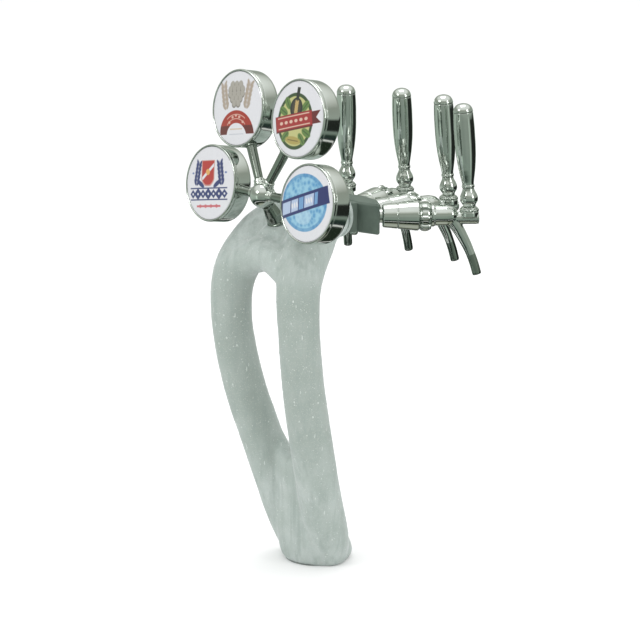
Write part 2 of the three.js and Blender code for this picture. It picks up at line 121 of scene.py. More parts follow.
def mesh_from(name, points, faces, smooth_angle=35):
    """A mesh in metres from points in millimetres, shaded smooth except at real edges."""
    mesh = bpy.data.meshes.new(name)
    mesh.from_pydata([Vector(p) * MM for p in points], [], faces)
    mesh.validate()
    bm = bmesh.new()
    bm.from_mesh(mesh)
    bmesh.ops.recalc_face_normals(bm, faces=bm.faces)
    bm.to_mesh(mesh)
    bm.free()
    mesh.shade_smooth()
    mesh.set_sharp_from_angle(angle=math.radians(smooth_angle))
    return mesh


def rounded(outline, radius=0.6, steps=4):
    """The outline with each corner turned into an arc of about that radius; its ends stay."""
    out = [Vector(outline[0])]
    for before, corner, after in zip(outline, outline[1:], outline[2:]):
        b, c, a = Vector(before), Vector(corner), Vector(after)
        cut = min(radius, 0.45 * (b - c).length, 0.45 * (a - c).length)
        start = c + (b - c).normalized() * cut
        end = c + (a - c).normalized() * cut
        for k in range(steps + 1):
            t = k / steps
            out.append(start * (1 - t) ** 2 + c * (2 * t * (1 - t)) + end * t ** 2)
    out.append(Vector(outline[-1]))
    return [tuple(p) for p in out]


def lathe(name, outline, sides=64, wobble=None):
    """A body of revolution about +Z from (radius, height) points; wobble(angle, r, z) scales r."""
    points, faces, rings = [], [], []
    for r, z in outline:
        if r < 1e-6:
            rings.append([len(points)])
            points.append((0, 0, z))
            continue
        ring = []
        for i in range(sides):
            a = 2 * math.pi * i / sides
            q = r * (wobble(a, r, z) if wobble else 1)
            ring.append(len(points))
            points.append((q * math.cos(a), q * math.sin(a), z))
        rings.append(ring)
    for low, high in zip(rings, rings[1:]):
        for i in range(sides):
            j = (i + 1) % sides
            if len(low) == 1 and len(high) > 1:
                faces.append((low[0], high[j], high[i]))
            elif len(high) == 1 and len(low) > 1:
                faces.append((low[i], low[j], high[0]))
            elif len(low) > 1:
                faces.append((low[i], low[j], high[j], high[i]))
    return mesh_from(name, points, faces)


def spline(points, count):
    """Points spaced evenly along a smooth curve through the given ones."""
    p = [np.array(q, float) for q in points]
    p = [2 * p[0] - p[1]] + p + [2 * p[-1] - p[-2]]
    dense = []
    for a, b, c, d in zip(p, p[1:], p[2:], p[3:]):
        for t in np.linspace(0, 1, 24, endpoint=False):
            dense.append(0.5 * (2 * b + (c - a) * t + (2 * a - 5 * b + 4 * c - d) * t ** 2
                                + (3 * b - a - 3 * c + d) * t ** 3))
    dense.append(p[-2])
    dense = np.array(dense)
    along = np.concatenate([[0], np.cumsum(np.linalg.norm(np.diff(dense, axis=0), axis=1))])
    marks = np.linspace(0, along[-1], count)
    return np.stack([np.interp(marks, along, dense[:, k]) for k in range(3)], axis=1)


def swept(name, line, radius, sides=32, side_axis=None):
    """A closed tube along evenly spaced points; radius is a number or one for each point."""
    line = np.array(line, float)
    radii = np.broadcast_to(np.array(radius, float), len(line))
    tangents = np.gradient(line, axis=0)
    tangents /= np.linalg.norm(tangents, axis=1)[:, None]
    across = Vector(side_axis) if side_axis else Vector(tangents[0]).orthogonal()
    rings = []
    for centre, along, r in zip(line, tangents, radii):
        along = Vector(along)
        across = (across - along * across.dot(along)).normalized()
        up = along.cross(across)
        turns = [2 * math.pi * i / sides for i in range(sides)]
        rings.append([Vector(centre) + (across * math.cos(a) + up * math.sin(a)) * r for a in turns])
    return lofted(name, rings)


def lofted(name, rings):
    """A closed skin over rings with the same number of points."""
    sides = len(rings[0])
    points = [p for ring in rings for p in ring]
    faces = quads_between(len(rings), sides)
    faces.append(tuple(range(sides)))
    faces.append(tuple(range(len(points) - sides, len(points))))
    return mesh_from(name, points, faces)


def quads_between(rings, sides):
    """Faces between rings of points that follow one another in a list."""
    faces = []
    for start in range(0, (rings - 1) * sides, sides):
        for i in range(sides):
            j = (i + 1) % sides
            faces.append((start + i, start + j, start + sides + j, start + sides + i))
    return faces


def blended(name, meshes, voxel, passes):
    """One cast-looking skin over overlapping meshes: remeshed together, then eased where they meet."""
    bm = bmesh.new()
    for mesh in meshes:
        bm.from_mesh(mesh)
        bpy.data.meshes.remove(mesh)
    joined = bpy.data.meshes.new(name + "_rough")
    bm.to_mesh(joined)
    bm.free()
    rough = bpy.data.objects.new(name + "_rough", joined)
    bpy.context.scene.collection.objects.link(rough)
    remesh = rough.modifiers.new("skin", "REMESH")
    remesh.mode = "VOXEL"
    remesh.voxel_size = voxel * MM
    ease = rough.modifiers.new("ease", "SMOOTH")
    ease.factor = 0.5
    ease.iterations = passes
    graph = bpy.context.evaluated_depsgraph_get()
    mesh = bpy.data.meshes.new_from_object(rough.evaluated_get(graph))
    mesh.name = name
    bpy.data.objects.remove(rough)
    bpy.data.meshes.remove(joined)
    mesh.shade_smooth()
    return mesh


def place(mesh, name, material, matrix=None, body=BODY, stands_for=()):
    """A piece of the tower with that mesh, riding on its body. matrix is in millimetres."""
    piece = bpy.data.objects.new(name, mesh)
    bpy.context.scene.collection.objects.link(piece)
    if not mesh.materials:
        mesh.materials.append(material)
    if matrix is not None:
        metres = matrix.copy()
        metres.translation = matrix.translation * MM
        piece.matrix_world = metres
    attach(piece, body)
    if stands_for:
        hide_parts(*stands_for)
    return piece


# ---- Frames of the repeated parts ------------------------------------------------------------

def tap_matrix(i):
    """X runs out along tap i from the taps' common line, Z up from the counter."""
    joint = next(j for j in frame["joints"] if j["name"] == f"tap_{i}_lever")
    axis = Vector(joint["axis"])
    out = axis.cross(Vector((0, 0, 1)))
    origin = Vector(joint["pos_m"]) / MM - out * LEVER_REACH
    origin.z = 0
    turn = Matrix((out, axis, Vector((0, 0, 1)))).transposed().to_4x4()
    return Matrix.Translation(origin) @ turn


def fan_matrix():
    """X and Z lie in the plane of the medallions, and -Y is the way they face."""
    return Matrix.Translation(HUB) @ Matrix.Rotation(-FAN_TILT, 4, "X")


def towards(angle):
    """Turns +Z to an angle in the fan's plane, in degrees from +X."""
    return fan_matrix() @ Matrix.Rotation(math.radians(90 - angle), 4, "Y")


def badge_matrix(name):
    """X to the right and Y up the face, Z out of the face."""
    angle, reach = BADGES[name]
    a = math.radians(angle)
    centre = Matrix.Translation((reach * math.cos(a), 0, reach * math.sin(a)))
    return fan_matrix() @ centre @ Matrix.Rotation(math.pi / 2, 4, "X")


# ---- Materials -------------------------------------------------------------------------------

class Nodes:
    """Builds a node tree. An input may be a number, a colour or another node's output."""

    def __init__(self, tree):
        self.tree = tree

    def set(self, node, inputs):
        """Links or sets each input, by its name or its place."""
        for key, value in inputs.items():
            socket = node.inputs[key]
            if isinstance(value, bpy.types.NodeSocket):
                self.tree.links.new(value, socket)
            elif isinstance(value, tuple) and len(value) == 3 and socket.type == "RGBA":
                socket.default_value = (*value, 1)
            else:
                socket.default_value = value

    def add(self, kind, inputs=None, **settings):
        node = self.tree.nodes.new("ShaderNode" + kind)
        for key, value in settings.items():
            setattr(node, key, value)
        self.set(node, inputs or {})
        return node

    def math(self, operation, a, b=0.0):
        return self.add("Math", {0: a, 1: b}, operation=operation).outputs[0]

    def ramp_of(self, value, stops):
        """A colour ramp through (position, colour) stops."""
        node = self.add("ValToRGB", {0: value})
        elements = node.color_ramp.elements
        while len(elements) < len(stops):
            elements.new(1)
        for element, (position, color) in zip(elements, stops):
            element.position = position
            element.color = (*color, 1)
        return node.outputs[0]

    def spot(self):
        """The point being shaded, in metres in the piece's own axes."""
        return self.add("TexCoord").outputs["Object"]

    def noise(self, scale, detail=3.0, roughness=0.5, stretch=None):
        where = self.spot()
        if stretch:
            where = self.add("Mapping", {"Vector": where, "Scale": stretch}).outputs[0]
        inputs = {"Vector": where, "Scale": scale, "Detail": detail, "Roughness": roughness}
        return self.add("TexNoise", inputs).outputs["Fac"]

    def ramp(self, value, low, high, from_min=0.3, from_max=0.7):
        """value, carried over from one range to another and kept inside it."""
        inputs = {"Value": value, "From Min": from_min, "From Max": from_max,
                  "To Min": low, "To Max": high}
        return self.add("MapRange", inputs).outputs[0]

    def mix(self, factor, a, b):
        """Colour a where factor is 0 and b where it is 1."""
        return self.add("Mix", {0: factor, 6: a, 7: b}, data_type="RGBA").outputs[2]

    def bump(self, height, strength, distance, normal=None):
        inputs = {"Height": height, "Strength": strength, "Distance": distance}
        if normal is not None:
            inputs["Normal"] = normal
        return self.add("Bump", inputs).outputs[0]


class Paint(Nodes):
    """A material's node tree."""

    def __init__(self, name):
        self.material = bpy.data.materials.new(name)
        self.material.use_nodes = True
        super().__init__(self.material.node_tree)

    def finish(self, **shader):
        self.set(self.tree.nodes["Principled BSDF"], shader)
        return self.material


def linear(r, g, b):
    """A screen colour, 0 to 255, as the shader's linear one."""
    return tuple(((c / 255 + 0.055) / 1.055) ** 2.4 if c > 10 else c / 3294.6 for c in (r, g, b))


def frost_material():
    """White rime on cold metal, with crystals, patches and runs, and thinner half-way up the legs."""
    p = Paint("frosted_ice")
    height = p.ramp(p.add("SeparateXYZ", {0: p.spot()}).outputs["Z"], 0, 1, 0, 0.5)
    thin = p.ramp_of(height, [(0.2, (0, 0, 0)), (0.4, (1, 1, 1)), (0.68, (1, 1, 1)), (0.8, (0, 0, 0))])
    patches = p.noise(22, 4, 0.6)
    runs = p.noise(120, 4, 0.6, stretch=(1, 1, 0.07))
    grains = p.add("TexVoronoi", {"Vector": p.spot(), "Scale": 520.0}).outputs["Distance"]
    fine = p.noise(1100, 3, 0.7)
    tint = p.mix(p.ramp(patches, 0, 1, 0.35, 0.65), linear(160, 171, 165), linear(179, 188, 184))
    tint = p.mix(p.math("MULTIPLY", thin, 0.5), tint, linear(138, 149, 141))
    tint = p.mix(p.ramp(runs, 0, 0.6, 0.48, 0.66), tint, linear(146, 158, 152))
    tint = p.mix(p.ramp(grains, 0.6, 0, 0.05, 0.3), tint, linear(198, 204, 199))
    tint = p.mix(p.ramp(fine, 0, 0.4, 0.5, 0.7), tint, linear(142, 153, 147))
    normal = p.bump(runs, 0.3, 0.0005)
    normal = p.bump(patches, 0.4, 0.0012, normal)
    normal = p.bump(grains, 0.35, 0.0004, normal)
    normal = p.bump(fine, 0.35, 0.0002, normal)
    return p.finish(**{"Base Color": tint, "Roughness": p.ramp(patches, 0.45, 0.62), "Normal": normal,
                       "Subsurface Weight": 0.2, "Subsurface Radius": (0.004, 0.005, 0.005),
                       "Subsurface Scale": 1.0, "IOR": 1.31, "Sheen Weight": 0.4,
                       "Sheen Roughness": 0.35, "Sheen Tint": (0.95, 0.95, 1.0)})


def bead_material():
    """White frozen drops."""
    p = Paint("frozen_drops")
    cloud = p.noise(900, 2)
    return p.finish(**{"Base Color": p.mix(cloud, linear(172, 183, 177), linear(208, 214, 210)),
                       "Roughness": p.ramp(cloud, 0.25, 0.45), "IOR": 1.31,
                       "Subsurface Weight": 0.3, "Subsurface Radius": (0.001, 0.001, 0.001),
                       "Subsurface Scale": 1.0})


def chrome_material(name, color, rough=0.05):
    """Polished chrome plate with faint wipe marks and a trace of orange peel."""
    p = Paint(name)
    wipes = p.noise(60, 4, 0.6, stretch=(1, 1, 0.3))
    peel = p.noise(220, 2, 0.5)
    darker = tuple(0.93 * c for c in color)
    return p.finish(**{"Base Color": p.mix(p.ramp(wipes, 0, 1), color, darker), "Metallic": 1.0,
                       "Roughness": p.ramp(wipes, rough, rough + 0.07),
                       "Normal": p.bump(peel, 0.06, 0.0004)})


def cast_material():
    """Satin dark paint on the manifold casting."""
    p = Paint("manifold_paint")
    cloud = p.noise(45, 4, 0.6)
    grain = p.noise(1600, 2, 0.6)
    tint = p.mix(p.ramp(cloud, 0, 1), linear(84, 98, 89), linear(97, 111, 101))
    return p.finish(**{"Base Color": tint, "Metallic": 0.15, "Roughness": p.ramp(cloud, 0.42, 0.55),
                       "Normal": p.bump(grain, 0.25, 0.0002)})


def plain_material(name, color, rough, metallic=0.0, grain_scale=700):
    """Hidden or small parts: one tone with a slight mottle and grain."""
    p = Paint(name)
    cloud = p.noise(80, 3)
    grain = p.noise(grain_scale, 2)
    darker = tuple(0.8 * c for c in color)
    return p.finish(**{"Base Color": p.mix(p.ramp(cloud, 0, 1), color, darker), "Metallic": metallic,
                       "Roughness": p.ramp(cloud, rough, min(1, rough + 0.12)),
                       "Normal": p.bump(grain, 0.2, 0.0002)})


# ---- Badge artwork ---------------------------------------------------------------------------

class Art(Paint):
    """A printed face, painted in layers over a UV map whose unit is 100 mm from the centre."""

    def __init__(self, name, ground):
        super().__init__(name)
        uv = self.add("UVMap", uv_map="face").outputs[0]
        parts = self.add("SeparateXYZ", {0: uv}).outputs
        self.x = self.math("MULTIPLY", parts[0], 100)
        self.y = self.math("MULTIPLY", parts[1], 100)
        self.color = ground

    def inside(self, distance, soft=0.35):
        """1 where distance, in millimetres, is below zero, with a soft edge."""
        return self.ramp(distance, 1, 0, -soft, soft)

    def turned(self, cx, cy, degrees):
        """Distances along and across a direction, from a point of the face."""
        a = math.radians(degrees)
        dx, dy = self.math("SUBTRACT", self.x, cx), self.math("SUBTRACT", self.y, cy)
        cos, sin = math.cos(a), math.sin(a)
        u = self.math("ADD", self.math("MULTIPLY", dx, cos), self.math("MULTIPLY", dy, sin))
        v = self.math("SUBTRACT", self.math("MULTIPLY", dy, cos), self.math("MULTIPLY", dx, sin))
        return u, v

    def oval(self, cx, cy, rx, ry, degrees=0):
        """A mask for an ellipse."""
        u, v = self.turned(cx, cy, degrees)
        u, v = self.math("DIVIDE", u, rx), self.math("DIVIDE", v, ry)
        size = self.math("SQRT", self.math("ADD", self.math("MULTIPLY", u, u), self.math("MULTIPLY", v, v)))
        return self.inside(self.math("MULTIPLY", self.math("SUBTRACT", size, 1), min(rx, ry)))

    def bar(self, cx, cy, half_length, half_width, degrees=0, skew=0.0):
        """A mask for a rectangle, whose ends slope when it has a skew."""
        u, v = self.turned(cx, cy, degrees)
        u = self.math("ADD", u, self.math("MULTIPLY", v, skew))
        over_u = self.math("SUBTRACT", self.math("ABSOLUTE", u), half_length)
        over_v = self.math("SUBTRACT", self.math("ABSOLUTE", v), half_width)
        return self.inside(self.math("MAXIMUM", over_u, over_v))

    def both(self, a, b):
        """A mask where both others are."""
        return self.math("MULTIPLY", a, b)

    def without(self, a, b):
        """Mask a less mask b."""
        return self.math("MULTIPLY", a, self.math("SUBTRACT", 1, b))

    def layer(self, color, mask):
        """Prints a colour over what is there, through a mask."""
        self.color = self.mix(mask, self.color, color)

    def ear(self, cx, cy, length, degrees, color, grains=5):
        """An ear of barley: paired grains up a stalk."""
        a = math.radians(degrees)
        for k in range(grains):
            along = length * (k / grains - 0.4)
            for side in (-1, 1):
                x = cx + along * math.cos(a) - side * 0.1 * length * math.sin(a)
                y = cy + along * math.sin(a) + side * 0.1 * length * math.cos(a)
                lean = degrees + side * 28
                self.layer(color, self.oval(x, y, 0.15 * length, 0.062 * length, lean))
        self.layer(color, self.bar(cx, cy, length * 0.5, 0.4, degrees))

    def printed(self):
        """Ink under a clear domed resin."""
        speckle = self.noise(900, 2)
        tint = self.mix(self.ramp(speckle, 0.22, 0.28), self.color, (0.02, 0.02, 0.02))
        return self.finish(**{"Base Color": tint, "Roughness": self.ramp(speckle, 0.3, 0.38),
                              "Coat Weight": 1.0, "Coat Roughness": 0.03, "Coat IOR": 1.5})


WHITE = linear(228, 229, 233)


def art_left_upper():
    """A grey hop cone between ears, over a wide red arched band with dark tails."""
    a = Art("badge_left_upper", WHITE)
    grey, dark = linear(172, 168, 158), linear(132, 127, 118)
    for row in range(5):
        count = (3, 4, 4, 3, 2)[row]
        for k in range(count):
            x, y = (k - (count - 1) / 2) * 7.2, 28 - row * 5.6
            a.layer(dark, a.oval(x, y - 0.8, 4.2, 4.6))
            a.layer(grey, a.oval(x, y + 0.2, 3.5, 3.9))
    for side in (-1, 1):
        a.ear(side * 21, 15, 31, 90 - side * 12, linear(176, 162, 146), 6)
    red, deep = linear(168, 44, 26), linear(104, 26, 20)
    outer, inner = a.oval(0, -30, 30, 27.5), a.oval(0, -33, 17.5, 15.5)
    band = a.both(a.without(outer, inner), a.bar(0, -16, 40, 14.5))
    tails = a.both(band, a.bar(0, -26, 40, 5.5))
    a.layer(red, band)
    a.layer(deep, tails)
    pale = linear(222, 176, 160)
    for reach in (25.4, 20.4):
        ring = a.without(a.oval(0, -30, reach, reach - 2.3), a.oval(0, -30, reach - 0.9, reach - 3.2))
        a.layer(pale, a.both(ring, a.bar(0, -14, 16, 8)))
    for k in range(5):
        a.layer(pale, a.oval(-12 + 6 * k, -8.6 - 0.055 * (-12 + 6 * k) ** 2, 1.9, 1.5))
    a.layer(linear(208, 186, 160), a.bar(0, -24.5, 11, 0.7))
    a.layer(linear(196, 200, 208), a.bar(0, -30.5, 13, 0.5))
    return a.printed()


def art_right_upper():
    """A green and straw oval with hop leaves and a dark cask behind a slanted red ribbon."""
    a = Art("badge_right_upper", WHITE)
    green, leaf, straw = linear(52, 78, 38), linear(98, 132, 62), linear(196, 196, 128)
    a.layer(green, a.oval(-2, -3, 30, 32.5))
    a.layer(straw, a.oval(-2, -3, 26, 28.5))
    for side in (-1, 1):
        for x, y, lean in ((15, 16, 52), (21, 6, 22), (14, -22, -48), (21, -14, -22)):
            a.layer(leaf, a.oval(side * x - 2, y, 8, 4.4, side * lean))
            a.layer(green, a.bar(side * x - 2, y, 6.4, 0.5, side * lean))
    a.layer(linear(38, 42, 36), a.oval(-2, 12, 10.5, 12))
    a.layer(linear(38, 42, 36), a.bar(-2, 28, 2.6, 8))
    a.layer(linear(70, 62, 48), a.oval(-2, 13, 7.4, 9))
    a.ear(-2, 13, 15, 90, linear(206, 176, 108), 5)
    a.layer(linear(176, 160, 84), a.oval(-2, -25, 13, 4.6))
    a.layer(linear(120, 104, 52), a.bar(-2, -25, 9, 0.6))
    red, deep = linear(166, 34, 36), linear(106, 22, 26)
    a.layer(deep, a.without(a.bar(30, 5.4, 9.5, 7.2, 15), a.bar(42.6, 8.6, 7.4, 7.4, 60)))
    a.layer(deep, a.bar(-4, -4.0, 31.5, 9.4, 15))
    a.layer(red, a.bar(-4, -3.2, 31, 8.2, 15))
    pale = linear(226, 190, 170)
    a.layer(pale, a.bar(-5.6, 2.7, 27, 0.6, 15))
    a.layer(pale, a.bar(-2.4, -9.1, 27, 0.6, 15))
    for k in range(6):
        a.layer(pale, a.oval(-24.5 + 8.2 * k, -8.7 + 2.2 * k, 2.7, 1.9, 15))
    return a.printed()


def art_left_lower():
    """A red shield between two blue ears, with a blue chain of lozenges and a red line under them."""
    a = Art("badge_left_lower", WHITE)
    blue, red = linear(46, 58, 116), linear(186, 50, 44)
    for side in (-1, 1):
        a.ear(side * 21, 12, 28, 90 + side * 10, blue, 6)
        a.layer(blue, a.oval(side * 15, -1, 7.5, 2.8, side * 32))
        a.layer(linear(110, 130, 178), a.oval(side * 30, 12, 2, 1.2))
    a.layer(linear(206, 150, 140), a.both(a.bar(-2, 11.6, 12, 15.4), a.oval(-2, 17, 15, 21.6)))
    shield = a.both(a.bar(-2, 12, 10.6, 14.2), a.oval(-2, 17, 13.4, 19.8))
    a.layer(red, shield)
    a.layer(WHITE, a.both(shield, a.bar(-2, 13, 16, 1.7, 38)))
    a.layer(linear(228, 176, 96), a.oval(-2, 13, 3.6, 3.6))
    for row in (-6.2, -19.8):
        a.layer(blue, a.bar(-1, row, 34, 0.8))
    for k in range(7):
        size = 7.2 if k % 2 else 5.4
        a.layer(blue, a.bar(-30 + 9.7 * k, -13, size * 0.72, size * 0.72, 45))
        a.layer(WHITE, a.oval(-30 + 9.7 * k, -13, 1.4, 1.4))
    a.layer(linear(206, 104, 112), a.bar(-1, -27.5, 22, 1.2))
    for k in range(4):
        a.layer(linear(206, 104, 112), a.oval(-16 + 10 * k, -27.5, 2.2, 2.2))
    return a.printed()


def art_right_lower():
    """An icy blue disc with a dark slanted band of pale panels."""
    a = Art("badge_right_lower", WHITE)
    disc = a.oval(-3, 1, 38, 33)
    cells = a.add("TexVoronoi", {"Vector": a.spot(), "Scale": 190.0}).outputs["Distance"]
    ice = a.mix(a.ramp(cells, 0, 1, 0.2, 0.7), linear(88, 156, 202), linear(150, 202, 226))
    edge = a.math("SUBTRACT", 1, a.oval(-3, 1, 34, 29))
    ice = a.mix(a.math("MULTIPLY", edge, 0.6), ice, linear(70, 138, 190))
    a.color = a.mix(disc, a.color, ice)
    a.layer(linear(196, 224, 238), a.math("MULTIPLY", a.oval(-2, -14, 14, 10), 0.4))
    navy, pale, mid = linear(30, 42, 108), linear(182, 200, 228), linear(112, 160, 208)
    slope = 21
    lean = math.radians(slope)
    a.layer(navy, a.bar(-3, 1.4, 41, 10.2, slope))
    panels = ((-31, 7.4, pale), (-16, 6.0, pale), (-4.5, 4.0, mid), (9, 8.0, pale), (21, 2.6, mid))
    for along, width, color in panels:
        x, y = -3 + along * math.cos(lean), 1.4 + along * math.sin(lean)
        a.layer(color, a.bar(x, y, width, 6.6, slope, -0.25))
    for along in (-16, 9):
        x, y = -3 + along * math.cos(lean), 1.4 + along * math.sin(lean)
        for k in (-1, 0, 1):
            a.layer(WHITE, a.oval(x + 4 * k * math.cos(lean), y + 4 * k * math.sin(lean), 1.4, 3.4, slope))
    return a.printed()


# ---- Column ----------------------------------------------------------------------------------

def foot_rings(sides=48):
    """The ovals that the foot's skin is stretched over."""
    turns = [2 * math.pi * i / sides for i in range(sides)]
    return [[(rx * math.cos(a), y + ry * math.sin(a), z) for a in turns]
            for z, y, rx, ry in FOOT_SECTIONS]


def column_mesh():
    """Two legs joined by a web, an arch and the head, all run together under one skin of ice."""
    line = spline(LEG_LINE, 90)
    radii = np.interp(line[:, 2], *zip(*LEG_RADII))
    pieces = [
        lofted("foot", foot_rings()),
        swept("leg_a", line, radii, 48),
        swept("leg_b", line * (-1, 1, 1), radii, 48),
        swept("arch", spline(ARCH_LINE, 40), ARCH_RADIUS, 48),
        swept("web", spline(WEB_LINE, 30), WEB_RADIUS, 32),
        swept("head", spline(HEAD_LINE, 30), HEAD_RADIUS, 48),
    ]
    mesh = blended("ice_column", pieces, COLUMN_VOXEL, COLUMN_EASING)
    grow_ice(mesh)
    return mesh


def grow_ice(mesh):
    """Lets the ice swell and thin a little over the metal, and keeps the foot flat on its seal."""
    spots = np.empty(3 * len(mesh.vertices))
    mesh.vertices.foreach_get("co", spots)
    normals = np.array([v.vector[:] for v in mesh.vertex_normals])
    spots = spots.reshape(-1, 3)
    swell = [sum(height * noise.noise(Vector(p) * waves) for height, waves in ICE_WAVES) for p in spots]
    spots += normals * (np.array(swell) * MM)[:, None]
    spots[:, 2] = np.maximum(spots[:, 2], 0.6 * MM)
    mesh.vertices.foreach_set("co", spots.ravel())
    mesh.update()


def sample_surface(mesh, count, rng):
    """Random points on a mesh with their normals, spread by area."""
    mesh.calc_loop_triangles()
    tri = np.empty(len(mesh.loop_triangles) * 3, np.int64)
    mesh.loop_triangles.foreach_get("vertices", tri)
    co = np.empty(len(mesh.vertices) * 3)
    mesh.vertices.foreach_get("co", co)
    a, b, c = co.reshape(-1, 3)[tri.reshape(-1, 3)].transpose(1, 0, 2)
    normals = np.cross(b - a, c - a)
    area = np.linalg.norm(normals, axis=1)
    pick = rng.choice(len(area), count, p=area / area.sum())
    u, v = np.sqrt(rng.random(count)), rng.random(count)
    points = a[pick] * (1 - u)[:, None] + b[pick] * (u * (1 - v))[:, None] + c[pick] * (u * v)[:, None]
    return points / MM, normals[pick] / area[pick][:, None]


def beads_mesh(column, rng):
    """Frozen drops all over the column, some of them drawn out into short runs."""
    unit, unit_faces = bead_shape()
    points, faces = [], []
    for count, small, large, shortest, longest in DROPS:
        spots, normals = sample_surface(column, count, rng)
        sizes = rng.uniform(small, large, count)
        stretches = rng.uniform(shortest, longest, count)
        for spot, normal, size, stretch in zip(spots, normals, sizes, stretches):
            if is_dry(spot, normal):
                continue
            down = np.array((0, 0, -1.0)) + normal * normal[2]
            down /= np.linalg.norm(down)
            across = np.cross(down, normal)
            shape = unit * (size, size * stretch, 0.62 * size)
            first = len(points)
            points.extend(spot - normal * 0.15 + shape @ np.array((across, down, normal)))
            faces.extend(tuple(first + k for k in face) for face in unit_faces)
    return mesh_from("frozen_drops", points, faces, 80)


def is_dry(spot, normal):
    """No drop hangs at the foot's edge, on level ice or where the manifold enters the head."""
    _, y, z = spot
    return z < 6 or abs(normal[2]) > 0.97 or (y > 24 and z > 380)


def bead_shape(sides=10, rows=4):
    """A unit half drop, wider at its lower end."""
    points = []
    for k in range(rows):
        lift = math.radians(90 * k / rows)
        for i in range(sides):
            a = 2 * math.pi * i / sides
            x, y = math.cos(a) * math.cos(lift), math.sin(a) * math.cos(lift)
            points.append((x * (1 + 0.18 * y), y, math.sin(lift)))
    points.append((0, 0.1, 1))
    faces = quads_between(rows, sides)
    top = (rows - 1) * sides
    faces.extend((top + i, top + (i + 1) % sides, len(points) - 1) for i in range(sides))
    faces.append(tuple(reversed(range(sides))))
    return np.array(points), faces


def head_rim_mesh():
    """The turned ring at the mouth of the head."""
    outline = [(21.5, 0), (27.4, 0), (28.6, 1.6), (28.6, 3.6), (27.2, 5.2), (21.5, 5.2), (21.5, 0)]
    return lathe("head_rim", rounded(outline, 1.0))


def seal_mesh():
    """The silicone ring under the foot, with its lip rolled in."""
    ring = rounded([(24, 0), (SEAL_RADIUS, 0), (SEAL_RADIUS, 0.9), (24, 0.9), (24, 0)], 0.4)
    return lathe("seal", ring, 128)


def add_column():
    """The iced shell with its drops, the ring at its head and the seal under its foot."""
    frost = frost_material()
    column = column_mesh()
    shell = ("foot_casting", "left_leg", "right_leg", "head_casting")
    place(column, "ice_column", frost, stands_for=shell)
    rng = np.random.default_rng(11)
    place(beads_mesh(column, rng), "frozen_drops", bead_material())
    low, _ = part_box("head_end_ring")
    seat = Matrix.Translation((0, low.y / MM, HEAD_END_Z)) @ Matrix.Rotation(-math.pi / 2, 4, "X")
    place(head_rim_mesh(), "head_rim", frost, seat, stands_for=("head_end_ring",))
    silicone = plain_material("pale_silicone", (0.36, 0.4, 0.38), 0.6)
    place(seal_mesh(), "foot_seal", silicone, stands_for=("base_seal",))


# ---- Manifold --------------------------------------------------------------------------------

def manifold_mesh():
    """The CAD block's own solid with its edges broken."""
    mesh = frame["nodes"]["manifold_block"].data.copy()
    mesh.materials.clear()
    bm = bmesh.new()
    bm.from_mesh(mesh)
    bmesh.ops.remove_doubles(bm, verts=bm.verts, dist=1e-5)
    bmesh.ops.dissolve_limit(bm, angle_limit=math.radians(1), verts=bm.verts, edges=bm.edges)
    sharp = [e for e in bm.edges if len(e.link_faces) == 2 and e.calc_face_angle() > math.radians(25)]
    bmesh.ops.bevel(bm, geom=sharp, offset=1.2 * MM, segments=3, affect="EDGES", profile=0.5,
                    clamp_overlap=True)
    bm.to_mesh(mesh)
    bm.free()
    mesh.shade_smooth()
    mesh.set_sharp_from_angle(angle=math.radians(40))
    return mesh


def add_manifold(chrome):
    """The painted block and the domed screw under its neck."""
    paint = cast_material()
    place(manifold_mesh(), "manifold", paint, stands_for=("manifold_block",))
    low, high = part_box("manifold_fixing_screw")
    outline = [(0, 0), (2.6, 0.3), (4.1, 1.5), (4.6, 3.3), (4.6, 7.3), (5.6, 7.6), (5.6, 8.2), (0, 8.2)]
    middle = (low + high) / 2
    spot = Matrix.Translation(Vector((middle.x, middle.y, low.z)) / MM)
    mesh = lathe("manifold_knob", rounded(outline, 0.5), 40)
    place(mesh, "manifold_knob", chrome, spot, stands_for=("manifold_fixing_screw",))


# ---- Medallion fan ---------------------------------------------------------------------------

def hub_mesh():
    """The ball that every arm screws into."""
    ball = [(HUB_RADIUS * math.sin(t), -HUB_RADIUS * math.cos(t)) for t in np.linspace(0, math.pi, 33)]
    return lathe("hub_ball", ball, 64)


def pedestal_mesh():
    """A neck under the ball that widens to a flange, along +Z from the hub's centre."""
    end = PEDESTAL_LENGTH - 0.3
    outline = [(0, 12), (8, 12), (8, 15.4), (7.4, 16.4), (8.2, 20), (9.8, 29), (10.8, end - 3.4),
               (12, end - 2.6), (12, end), (0, end)]
    return lathe("pedestal", rounded(outline, 0.7), 56)


def ferrule_mesh():
    """The collar where an arm enters the ball."""
    outline = [(0, 12.5), (7.4, 12.5), (7.4, 15.2), (6.6, 16), (6.6, 19.2), (5.4, 20.2), (0, 20.2)]
    return lathe("ferrule", rounded(outline, 0.5), 48)


def arm_mesh(name, reach):
    """A bar from the ferrule to a medallion's rim, with a foot that meets the rim."""
    end = reach - BADGE_RADIUS + 0.4
    outline = [(0, 19), (4.9, 19), (5.2, 21), (6.0, end - 2.6), (7.2, end - 2), (7.2, end), (0, end)]
    return lathe(f"arm_{name}", rounded(outline, 0.5), 48)


def add_fan(chrome, dark_chrome):
    """The hub on its pedestal, the four arms and their medallions."""
    place(hub_mesh(), "hub_ball", chrome, fan_matrix(), stands_for=("hub",))
    downwards = Matrix.Translation(HUB) @ Matrix.Rotation(math.pi + PEDESTAL_LEAN, 4, "X")
    place(pedestal_mesh(), "pedestal", dark_chrome, downwards, stands_for=("hub_pedestal",))
    ferrule = ferrule_mesh()
    for name, (angle, reach) in BADGES.items():
        where = towards(angle)
        place(ferrule, f"ferrule_{name}", chrome, where)
        place(arm_mesh(name, reach), f"arm_bar_{name}", dark_chrome, where, stands_for=(f"arm_{name}",))
    add_badges(chrome)


